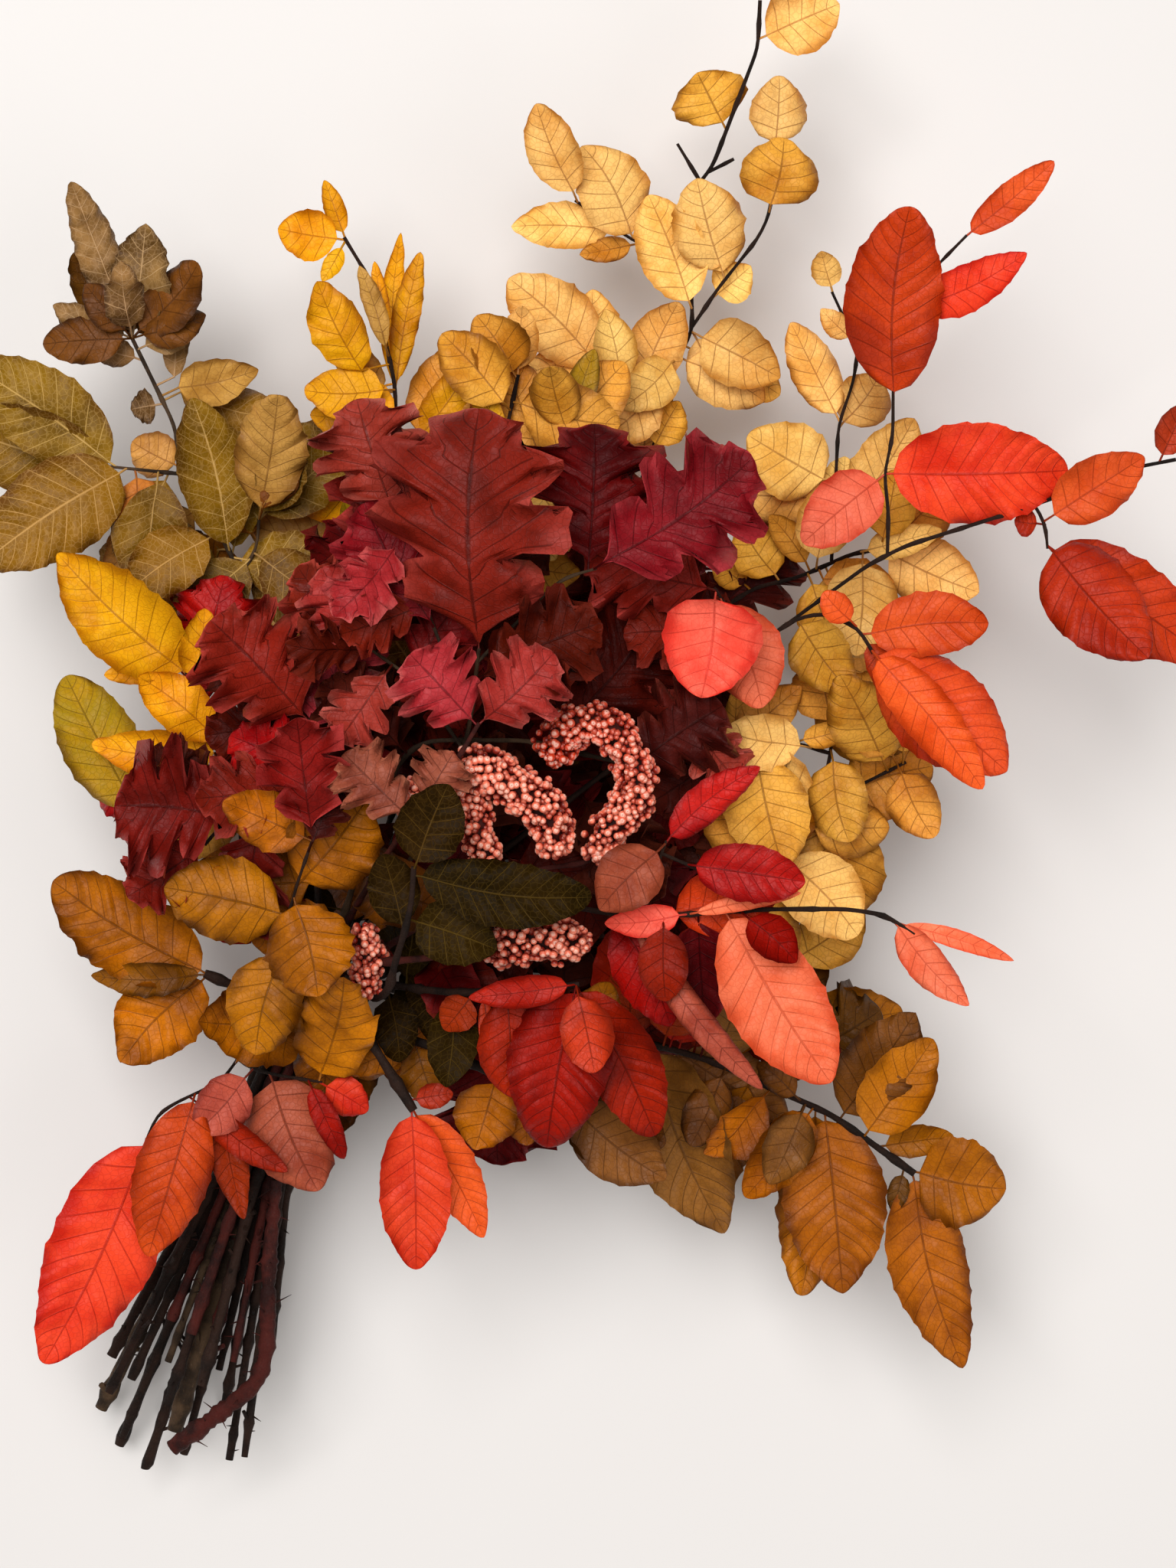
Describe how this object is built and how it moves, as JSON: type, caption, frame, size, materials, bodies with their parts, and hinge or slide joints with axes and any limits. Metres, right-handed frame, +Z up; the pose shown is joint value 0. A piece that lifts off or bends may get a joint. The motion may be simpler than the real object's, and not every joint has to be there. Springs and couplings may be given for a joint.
{
  "type": "autumn leaf bouquet",
  "caption": "Bunch of cut autumn branches lying on its back: beech and oak leaves, berry heads and bare stems gathered at the grip.",
  "frame": {"origin": "centre of the bounding box in X and Y, on the surface that the bunch lies on", "axes": "+Z up from the surface; +Y towards the top of the picture, from the cut stem ends to the farthest leaves; +X to the picture's right"},
  "size_m": [0.5521, 0.6836, 0.2056],
  "materials": {
    "back_branch_left": "matt dry beech leaves on dark bark",
    "back_branch_low": "matt dry beech leaves on dark bark",
    "back_branch_right": "matt dry beech leaves on dark bark",
    "back_branch_top": "matt dry beech leaves on dark bark",
    "berry_branch_left": "satin berries on dark bark",
    "berry_branch_low": "satin berries on dark bark",
    "berry_branch_right": "satin berries on dark bark",
    "brown_beech_branch": "matt dry beech leaves on dark bark",
    "brown_oak_branch": "matt dry oak leaves on dark bark",
    "burgundy_oak_branch_centre": "matt dry oak leaves on dark bark",
    "burgundy_oak_branch_inner": "matt dry oak leaves on dark bark",
    "burgundy_oak_branch_left": "matt dry oak leaves on dark bark",
    "burgundy_oak_branch_top": "matt dry oak leaves on dark bark",
    "dark_green_branch": "matt dark leaves on dark bark",
    "gold_brown_beech_branch": "matt dry beech leaves on dark bark",
    "golden_beech_branch_right": "matt dry beech leaves on dark bark",
    "golden_beech_branch_top": "matt dry beech leaves on dark bark",
    "ochre_beech_branch_left": "matt dry beech leaves on dark bark",
    "ochre_beech_branch_low": "matt dry beech leaves on dark bark",
    "olive_beech_branch": "matt dry beech leaves on dark bark",
    "red_beech_branch_hanging": "matt dry beech leaves on dark bark",
    "red_beech_branch_lower_centre": "matt dry beech leaves on dark bark",
    "red_beech_branch_lower_left": "matt dry beech leaves on dark bark",
    "red_beech_branch_lower_right": "matt dry beech leaves on dark bark",
    "red_beech_branch_right": "matt dry beech leaves on dark bark",
    "red_beech_branch_upper": "matt dry beech leaves on dark bark",
    "yellow_beech_branch": "matt dry beech leaves on dark bark",
    "yellow_beech_branch_left": "matt dry beech leaves on dark bark",
    "yellow_beech_branch_middle": "matt dry beech leaves on dark bark"
  },
  "bodies": {
    "root": {"back_branch_left": "back_branch_left", "back_branch_low": "back_branch_low", "back_branch_right": "back_branch_right", "back_branch_top": "back_branch_top", "berry_branch_left": "berry_branch_left", "berry_branch_low": "berry_branch_low", "berry_branch_right": "berry_branch_right", "brown_beech_branch": "brown_beech_branch", "brown_oak_branch": "brown_oak_branch", "burgundy_oak_branch_centre": "burgundy_oak_branch_centre", "burgundy_oak_branch_inner": "burgundy_oak_branch_inner", "burgundy_oak_branch_left": "burgundy_oak_branch_left", "burgundy_oak_branch_top": "burgundy_oak_branch_top", "dark_green_branch": "dark_green_branch", "gold_brown_beech_branch": "gold_brown_beech_branch", "golden_beech_branch_right": "golden_beech_branch_right", "golden_beech_branch_top": "golden_beech_branch_top", "ochre_beech_branch_left": "ochre_beech_branch_left", "ochre_beech_branch_low": "ochre_beech_branch_low", "olive_beech_branch": "olive_beech_branch", "red_beech_branch_hanging": "red_beech_branch_hanging", "red_beech_branch_lower_centre": "red_beech_branch_lower_centre", "red_beech_branch_lower_left": "red_beech_branch_lower_left", "red_beech_branch_lower_right": "red_beech_branch_lower_right", "red_beech_branch_right": "red_beech_branch_right", "red_beech_branch_upper": "red_beech_branch_upper", "yellow_beech_branch": "yellow_beech_branch", "yellow_beech_branch_left": "yellow_beech_branch_left", "yellow_beech_branch_middle": "yellow_beech_branch_middle"}
  },
  "joints": []
}
